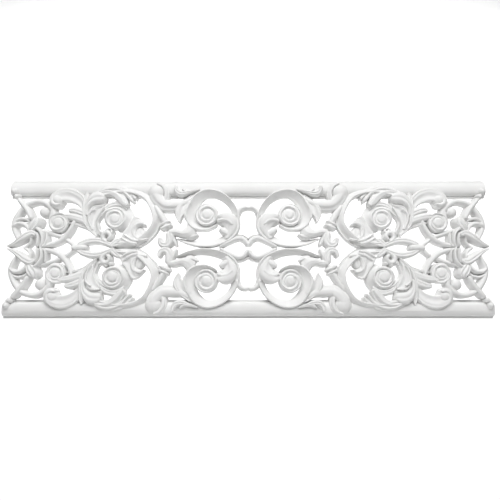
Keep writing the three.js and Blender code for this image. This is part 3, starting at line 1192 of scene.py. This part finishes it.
@dataclass(frozen=True)
class PlasterFinish:
    """White casting plaster: near white, matt, with a fine grain and faint clouds."""

    name: str = "white_plaster"
    colour: Colour = (0.83, 0.83, 0.825)
    cloud: Colour = (0.79, 0.79, 0.782)
    roughness: float = 0.62
    roughness_spread: float = 0.1
    grain_size: float = 0.0012
    cloud_size: float = 0.09
    grain_depth: float = 0.00012

    def group(self) -> bpy.types.NodeTree:
        """Node group of the plaster: colour, roughness and height from the object's own place.

        Returns:
            The group, with the outputs Colour, Roughness and Height.
        """
        tree = bpy.data.node_groups.new(self.name + "_grain", "ShaderNodeTree")
        sockets = {"Colour": "NodeSocketColor", "Roughness": "NodeSocketFloat", "Height": "NodeSocketFloat"}
        for label, kind in sockets.items():
            tree.interface.new_socket(name=label, in_out="OUTPUT", socket_type=kind)
        nodes = tree.nodes
        link = tree.links.new
        place = nodes.new("ShaderNodeTexCoord")
        clouds = nodes.new("ShaderNodeTexNoise")
        clouds.inputs["Scale"].default_value = 1.0 / self.cloud_size
        clouds.inputs["Detail"].default_value = 5.0
        grain = nodes.new("ShaderNodeTexNoise")
        grain.inputs["Scale"].default_value = 1.0 / self.grain_size
        grain.inputs["Detail"].default_value = 3.0
        trowel = nodes.new("ShaderNodeTexNoise")
        trowel.inputs["Scale"].default_value = 0.12 / self.grain_size
        trowel.inputs["Detail"].default_value = 4.0
        for texture in (clouds, grain, trowel):
            link(place.outputs["Object"], texture.inputs["Vector"])
        shade = nodes.new("ShaderNodeMix")
        shade.data_type = "RGBA"
        shade.inputs[6].default_value = (*self.cloud, 1.0)
        shade.inputs[7].default_value = (*self.colour, 1.0)
        spread = nodes.new("ShaderNodeMapRange")
        spread.inputs["From Min"].default_value = 0.35
        spread.inputs["From Max"].default_value = 0.65
        link(clouds.outputs["Fac"], spread.inputs["Value"])
        link(spread.outputs["Result"], shade.inputs[0])
        rough = nodes.new("ShaderNodeMapRange")
        rough.inputs["From Min"].default_value = 0.3
        rough.inputs["From Max"].default_value = 0.7
        rough.inputs["To Min"].default_value = self.roughness - self.roughness_spread
        rough.inputs["To Max"].default_value = self.roughness + self.roughness_spread
        link(trowel.outputs["Fac"], rough.inputs["Value"])
        coarse = nodes.new("ShaderNodeMath")
        coarse.operation = "MULTIPLY"
        coarse.inputs[1].default_value = 1.6
        link(trowel.outputs["Fac"], coarse.inputs[0])
        height = nodes.new("ShaderNodeMath")
        height.operation = "ADD"
        link(coarse.outputs[0], height.inputs[0])
        link(grain.outputs["Fac"], height.inputs[1])
        ends = nodes.new("NodeGroupOutput")
        link(shade.outputs[2], ends.inputs["Colour"])
        link(rough.outputs["Result"], ends.inputs["Roughness"])
        link(height.outputs[0], ends.inputs["Height"])
        return tree

    def material(self) -> bpy.types.Material:
        """The plaster as a material.

        Returns:
            The material, with the group's outputs on its colour, roughness and bump.
        """
        made = bpy.data.materials.new(self.name)
        made.use_nodes = True
        nodes = made.node_tree.nodes
        link = made.node_tree.links.new
        shader = nodes["Principled BSDF"]
        shader.inputs["Specular IOR Level"].default_value = 0.35
        plaster = nodes.new("ShaderNodeGroup")
        plaster.node_tree = self.group()
        relief = nodes.new("ShaderNodeBump")
        relief.inputs["Strength"].default_value = 0.35
        relief.inputs["Distance"].default_value = self.grain_depth
        link(plaster.outputs["Height"], relief.inputs["Height"])
        link(plaster.outputs["Colour"], shader.inputs["Base Color"])
        link(plaster.outputs["Roughness"], shader.inputs["Roughness"])
        link(relief.outputs["Normal"], shader.inputs["Normal"])
        return made


@dataclass
class FriezeMoulding:
    """The whole moulding: a quarter of ornament mirrored four ways, between two rails."""

    board: Board
    rail: Rail = field(default_factory=Rail)
    finish: PlasterFinish = field(default_factory=PlasterFinish)
    soft_angle: float = 38.0

    def quarter(self) -> Shell:
        """Ornament of one quarter, joined to one shell."""
        parts = (BigScroll(), LeafFan(), Strapwork(), MiddleScroll(), Bud(), Knot())
        return united("quarter", [form.shell(self.board) for part in parts for form in part.forms()])

    def casting(self) -> Shell:
        """The four quarters and the two rails as one shell.

        Returns:
            The closed shell of the moulding.
        """
        quarter = self.quarter()
        rail = self.rail.shell(self.board)
        pieces = [outward(quarter.mirrored(along, across)) for along in (1, -1) for across in (1, -1)]
        pieces += [rail, rail.mirrored(1, -1)]
        return united("casting", pieces)

    def build(self) -> bpy.types.Object:
        """The dressed moulding, riding on the body and standing for the solid.

        Returns:
            The object.
        """
        thing = mesh_object("frieze_casting", self.casting())
        thing.data.shade_smooth()
        thing.data.set_sharp_from_angle(angle=math.radians(self.soft_angle))
        thing.data.materials.append(self.finish.material())
        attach(thing, BODY)
        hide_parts(NODE)
        return thing


@dataclass
class Studio:
    """Plain pale sweep, soft light from above and the camera of the photograph."""

    camera_distance: float = 1.0
    camera_pitch: float = 8.64
    focal_pixels: float = 475.7
    centre_pixels: Point = (248.2, 248.8)
    sensor: float = 36.0
    floor_height: float = -0.75
    sweep_front: float = -2.5
    sweep_depth: float = 2.4
    sweep_top: float = 3.0
    sweep_width: float = 7.0
    sweep_radius: float = 1.0
    paper_colour: Colour = (0.92, 0.92, 0.92)
    ambient: float = 0.05
    key_size: Point = (2.4, 0.9)
    key_power: float = 44.0
    key_place: Place = (0.0, -1.25, 1.3)
    backdrop_size: Point = (5.0, 0.6)
    backdrop_power: float = 105.0
    backdrop_place: Place = (0.0, 1.0, 1.7)
    backdrop_aim: Place = (0.0, 2.3, 0.8)

    def sweep(self) -> bpy.types.Object:
        """Floor that curves up into a backdrop.

        The profile is a straight floor, a quarter circle and a straight wall, carried sideways.

        Returns:
            The sweep, marked as stage.
        """
        angle = np.linspace(0.0, math.pi / 2, 25)
        back = self.sweep_depth - self.sweep_radius * (1.0 - np.sin(angle))
        up = self.floor_height + self.sweep_radius * (1.0 - np.cos(angle))
        profile = np.concatenate(
            [
                [[self.sweep_front, self.floor_height]],
                np.stack([back, up], axis=1),
                [[self.sweep_depth, self.sweep_top]],
            ]
        )
        corners = np.zeros((len(profile), 2, 3))
        corners[:, :, 0] = np.array([-self.sweep_width / 2, self.sweep_width / 2])
        corners[:, :, 1:] = profile[:, None, :]
        here = 2 * np.arange(len(profile) - 1)
        faces = [tuple(face) for face in np.stack([here, here + 1, here + 3, here + 2], axis=1).tolist()]
        thing = mesh_object("sweep", Shell(corners.reshape(-1, 3), faces))
        thing.data.shade_smooth()
        paper = bpy.data.materials.new("pale_paper")
        paper.use_nodes = True
        shader = paper.node_tree.nodes["Principled BSDF"]
        shader.inputs["Base Color"].default_value = (*self.paper_colour, 1.0)
        shader.inputs["Roughness"].default_value = 0.9
        thing.data.materials.append(paper)
        return thing

    def lights(self) -> None:
        """Faint even surroundings, a soft light above the front and one that lights the backdrop."""
        world = bpy.data.worlds.new("studio")
        world.use_nodes = True
        background = world.node_tree.nodes["Background"]
        background.inputs["Color"].default_value = (1.0, 1.0, 1.0, 1.0)
        background.inputs["Strength"].default_value = self.ambient
        bpy.context.scene.world = world
        moulding_middle = (0.0, 0.0, 0.0)
        self.soft_box("overhead", self.key_size, self.key_power, self.key_place, moulding_middle)
        self.soft_box(
            "backdrop",
            self.backdrop_size,
            self.backdrop_power,
            self.backdrop_place,
            self.backdrop_aim,
        )

    def soft_box(self, name: str, size: Point, power: float, place: Place, aim: Place) -> None:
        """One large soft light.

        Args:
            name: name of the light.
            size: width and height of its face in metres.
            power: its power in watts.
            place: where it stands.
            aim: the point it faces.
        """
        lamp = bpy.data.lights.new(name, "AREA")
        lamp.shape = "RECTANGLE"
        lamp.size, lamp.size_y = size
        lamp.energy = power
        thing = bpy.data.objects.new(name, lamp)
        thing.location = place
        thing.rotation_mode = "QUATERNION"
        thing.rotation_quaternion = (Vector(aim) - Vector(place)).to_track_quat("-Z", "Y")
        bpy.context.scene.collection.objects.link(thing)

    def camera(self) -> bpy.types.Object:
        """The camera, turned up a little from below the middle of the moulding.

        The lens is the focal length in pixels over the image width, times the sensor width.

        Returns:
            The camera object.
        """
        lens = bpy.data.cameras.new("photograph")
        lens.sensor_width = self.sensor
        lens.lens = self.sensor * self.focal_pixels / IMAGE_WIDTH
        lens.shift_x = (IMAGE_WIDTH / 2 - self.centre_pixels[0]) / IMAGE_WIDTH
        lens.shift_y = (self.centre_pixels[1] - IMAGE_WIDTH / 2) / IMAGE_WIDTH
        pitch = math.radians(self.camera_pitch)
        thing = bpy.data.objects.new("photograph", lens)
        away = -self.camera_distance * math.cos(pitch)
        below = -self.camera_distance * math.sin(pitch)
        thing.location = (0.0, away, below)
        thing.rotation_mode = "QUATERNION"
        thing.rotation_quaternion = (-Vector(thing.location)).to_track_quat("-Z", "Y")
        bpy.context.scene.collection.objects.link(thing)
        bpy.context.scene.camera = thing
        return thing


def main() -> None:
    """Builds the moulding and the studio, and logs the triangle count of the moulding."""
    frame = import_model()
    low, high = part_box(NODE)
    scene = bpy.context.scene
    scene.view_settings.view_transform = "Standard"
    board = Board((high[0] - low[0]) / 2, (high[2] - low[2]) / 2, RELIEF_DEPTH)
    moulding = FriezeMoulding(board).build()
    triangles = sum(len(face.vertices) - 2 for face in moulding.data.polygons)
    LOG.info("%s: %d triangles for %s", moulding.name, triangles, sorted(frame["nodes"]))
    studio = Studio()
    LOG.info("stage: %s", studio.sweep().name)
    studio.lights()
    LOG.info("camera: %s", studio.camera().name)


if __name__ == "__main__":
    main()
